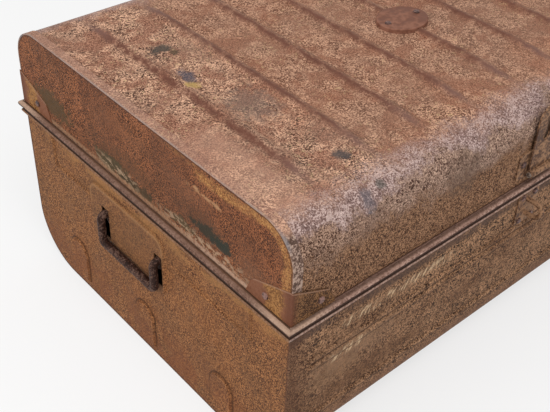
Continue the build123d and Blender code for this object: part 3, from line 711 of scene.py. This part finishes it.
def cream_remains(colour, at):
    """Worn remains of cream paint: dry broken smears along the front."""
    x, y, z = split(at)
    leaning = joined(scaled(z, -0.5, x), y, times(z, 0.25))
    dashes = ramp(cloud(leaning, 300.0, 2.0, 0.5), 0.51, 0.57)
    broken = times(dashes, patchy(at, 500.0, 0.74, 0.08), patchy(at, 40.0, 0.72, 0.06, (0.3, 0, 0)))
    on_front = ramp(y, -0.10, -0.15)
    fade = 0.02
    for slope, middle, half, left, right in cream_smears:
        line = scaled(x, slope, z)
        smear = times(band(line, middle + slope * (left + right) / 2, half, 0.0025), on_front)
        smear = times(smear, ramp(x, left, left + fade), ramp(x, right, right - fade))
        colour = blend(times(smear, broken, 0.9), colour, paint(216, 186, 150))
        colour = blend(times(smear, 0.2), colour, paint(150, 120, 94))
    return colour


def body_paint():
    """Body sheet: dark brown, greyer under the rim, streaked below and redder at the foot."""
    finish, shader, at, normal = start_finish("body_worn_paint")
    x, _, z = split(at)
    coat = place_group(front_coat, {"Vector": at})
    colour = stained(coat["Color"], at, front_shades)
    colour = blend(times(ramp(z, 0.062, 0.040), 0.4), colour, paint(116, 76, 54))
    colour = cream_remains(colour, at)
    between_ends = ramp(mirrored(x), 0.273, 0.269)
    for height, amount in pressed_lines:
        # painted shade with dirt in each pressed line's crease
        crease_shade_and_dirt = times(band(z, height, 0.0007, 0.0007), between_ends, amount)
        colour = blend(crease_shade_and_dirt, colour, paint(62, 42, 32))
    colour = place_group(body_bead, {
        "Vector": at, "Color": colour, "Light": paint(186, 154, 138), "Dark": paint(126, 96, 82),
        "High": 0.1768})["Color"]
    chip = times(ramp(mirrored(x), 0.285, 0.293), band(z, 0.1725, 0.0030, 0.0016))
    colour = blend(times(chip, 0.75), colour, paint(98, 92, 90))
    colour = blend(inner_mask(at, normal, body_middle), colour, lining(at))
    close_finish(shader, at, colour, scaled(coat["Height"], 0.14, 0.58), coat["Height"])
    return finish


gusset_peak = 0.2210                          # height of a gusset's upper edge at the corner
front_fall, end_fall = -0.449, -0.376         # how its two upper edges fall from there


def gusset_paint():
    """Corner plates: ochre remains on the wing over the end, dark brown on the wing over the front."""
    finish, shader, at, _ = start_finish("gusset_ochre")
    x, y, z = split(at)
    ochre = flake_coat(at, (98, 64, 38), (134, 91, 52), (166, 120, 74), 700.0, 1.1, 0.4, 0.6)
    brown = flake_coat(at, (60, 40, 27), (96, 66, 44), (136, 98, 66), 700.0, 1.3, 0.5, 0.6,
                       start=(0.2, 0.5, 0))
    red = blend(cloud(at, 300.0, 4.0, 0.7), paint(96, 56, 38), paint(142, 96, 72))
    ochre_place = band(wander(mirrored(y), at, 90.0, 0.02, 4.0, 0.6), 0.178, 0.0095, 0.004)
    over_end = blend(ochre_place, red, ochre["Color"])
    colour = blend(ramp(mirrored(x), 0.2945, 0.2962), brown["Color"], over_end)
    corner = times(ramp(mirrored(x), 0.289, 0.295), ramp(mirrored(y), 0.189, 0.195))
    colour = blend(times(corner, 0.7), colour, paint(96, 58, 42))
    over_front_edge = scaled(minus(lap_length, mirrored(x)), front_fall, gusset_peak)
    over_end_edge = scaled(minus(lap_depth, mirrored(y)), end_fall, gusset_peak)
    upper_edge = band(minus(maths("MINIMUM", over_front_edge, over_end_edge), z), 0.0004, 0.0006, 0.0005)
    colour = blend(times(upper_edge, 0.6), colour, paint(158, 122, 100))
    close_finish(shader, at, colour, scaled(ochre["Height"], 0.14, 0.56), ochre["Height"], 0.0003, 0.5)
    return finish


def rusted_iron(name, dark, middle, light, scale, rough=0.5, gloss=0.15, metal=0.0):
    """Small fittings: dark iron with lighter rubbed places."""
    finish, shader, at, _ = start_finish(name, gloss)
    coat = flake_coat(at, dark, middle, light, scale, 1.0, 0.9, 0.8)
    shader.inputs["Metallic"].default_value = metal
    close_finish(shader, at, coat["Color"], scaled(coat["Height"], 0.14, rough), coat["Height"], 0.0003)
    return finish


finishes = {
    "lid_sheet": lid_paint(),
    "lid_end_sheet": lid_end_rust(),
    "body_sheet": body_paint(),
    "end_sheet": body_end_rust(),
    "gusset_plate": gusset_paint(),
    "wire": rusted_iron("wire_steel", (84, 70, 62), (118, 102, 92), (160, 146, 134), 500.0, 0.42, metal=0.5),
    "rivet": rusted_iron("rivet_steel", (54, 35, 30), (86, 58, 51), (136, 102, 92), 600.0, 0.42, 0.3),
    "handle_iron": rusted_iron("bail_iron", (38, 21, 15), (58, 35, 27), (98, 74, 63), 600.0, 0.5, 0.12),
    "fitting_iron": rusted_iron("fitting_plate_iron", (74, 50, 38), (108, 78, 58), (150, 114, 86), 420.0),
}
oval_rust = rusted_iron("oval_plate_rust", (112, 73, 58), (126, 84, 67), (140, 97, 79), 160.0, 0.5, 0.1)

slot_of = {part["node"]: part["material_slot"] for part in frame["record"]["subparts"]}
for name, thing in nodes.items():
    finish = oval_rust if name == "lid_oval_plate" else finishes[slot_of[name]]
    thing.data.materials.clear()
    thing.data.materials.append(finish)


# ---------------------------------------------------------------- floor, light and camera

def seen_by_eye(tree):
    """1 for rays that reach the eye straight or by a mirror, 0 for the light that surfaces share."""
    rays = tree.nodes.new("ShaderNodeLightPath").outputs
    return larger(rays["Is Camera Ray"], larger(rays["Is Glossy Ray"], rays["Is Transmission Ray"]))


def lay_floor():
    """A wide pale floor that brightens towards white where it is seen, and keeps the trunk's shadow."""
    reach = 6
    mesh = bpy.data.meshes.new("floor")
    corners = [(-reach, -reach, 0), (reach, -reach, 0), (reach, reach, 0), (-reach, reach, 0)]
    mesh.from_pydata(corners, [], [(0, 1, 2, 3)])
    floor = bpy.data.objects.new("floor", mesh)
    scene.collection.objects.link(floor)
    finish, shader, *_ = start_finish("pale_floor", 0.0)
    shader.inputs["Base Color"].default_value = (0.86, 0.86, 0.86, 1)
    shader.inputs["Roughness"].default_value = 0.9
    tree = finish.node_tree
    white = add("ShaderNodeEmission", {"Color": (1, 1, 1, 1), "Strength": 1.0}, tree)
    whitened = times(seen_by_eye(tree), 0.65)
    both = add("ShaderNodeMixShader", {0: whitened, 1: shader.outputs[0], 2: white.outputs[0]})
    surface = shader.outputs[0].links[0].to_node
    tree.links.new(both.outputs[0], surface.inputs[0])
    mesh.materials.append(finish)


def light_world():
    """White all round: full where it is seen, weaker as light."""
    as_light, when_seen = 0.55, 1.0
    world = bpy.data.worlds.new("studio")
    scene.world = world
    world.use_nodes = True
    tree = world.node_tree
    tree.nodes.clear()
    strength = scaled(seen_by_eye(tree), when_seen - as_light, as_light)
    back = add("ShaderNodeBackground", {"Color": (1, 1, 1, 1), "Strength": strength})
    add("ShaderNodeOutputWorld", {0: back.outputs[0]})


def hang_lamp(name, place, power):
    """A round soft lamp that looks at the trunk's middle."""
    lamp = bpy.data.lights.new(name, "AREA")
    lamp.shape = "DISK"
    lamp.size = 2.0
    lamp.energy = power
    thing = bpy.data.objects.new(name, lamp)
    scene.collection.objects.link(thing)
    thing.location = place
    thing.rotation_euler = (Vector(body_middle) - Vector(place)).to_track_quat("-Z", "Y").to_euler()


def set_camera():
    yaw, pitch, roll = (math.radians(a) for a in (44.0545, 36.9278, 3.4377))
    place = Vector((-0.6323, -0.5472, 0.6909))
    look = Vector((math.sin(yaw) * math.cos(pitch), math.cos(yaw) * math.cos(pitch), -math.sin(pitch)))
    right = Vector((math.cos(yaw), -math.sin(yaw), 0))
    up = right.cross(look)
    x_axis = right * math.cos(roll) + up * math.sin(roll)
    y_axis = up * math.cos(roll) - right * math.sin(roll)
    camera = bpy.data.objects.new("camera", bpy.data.cameras.new("camera"))
    scene.collection.objects.link(camera)
    camera.matrix_world = Matrix.Translation(place) @ Matrix((x_axis, y_axis, -look)).transposed().to_4x4()
    camera.data.sensor_width = 36
    camera.data.lens = 61.065
    camera.data.shift_x = -0.04913
    camera.data.shift_y = -0.05322
    scene.camera = camera


lay_floor()
light_world()
hang_lamp("key", (-0.9, -1.6, 2.6), 42)
hang_lamp("fill", (-2.4, 0.6, 1.6), 26)
set_camera()
scene.view_settings.view_transform = "Standard"
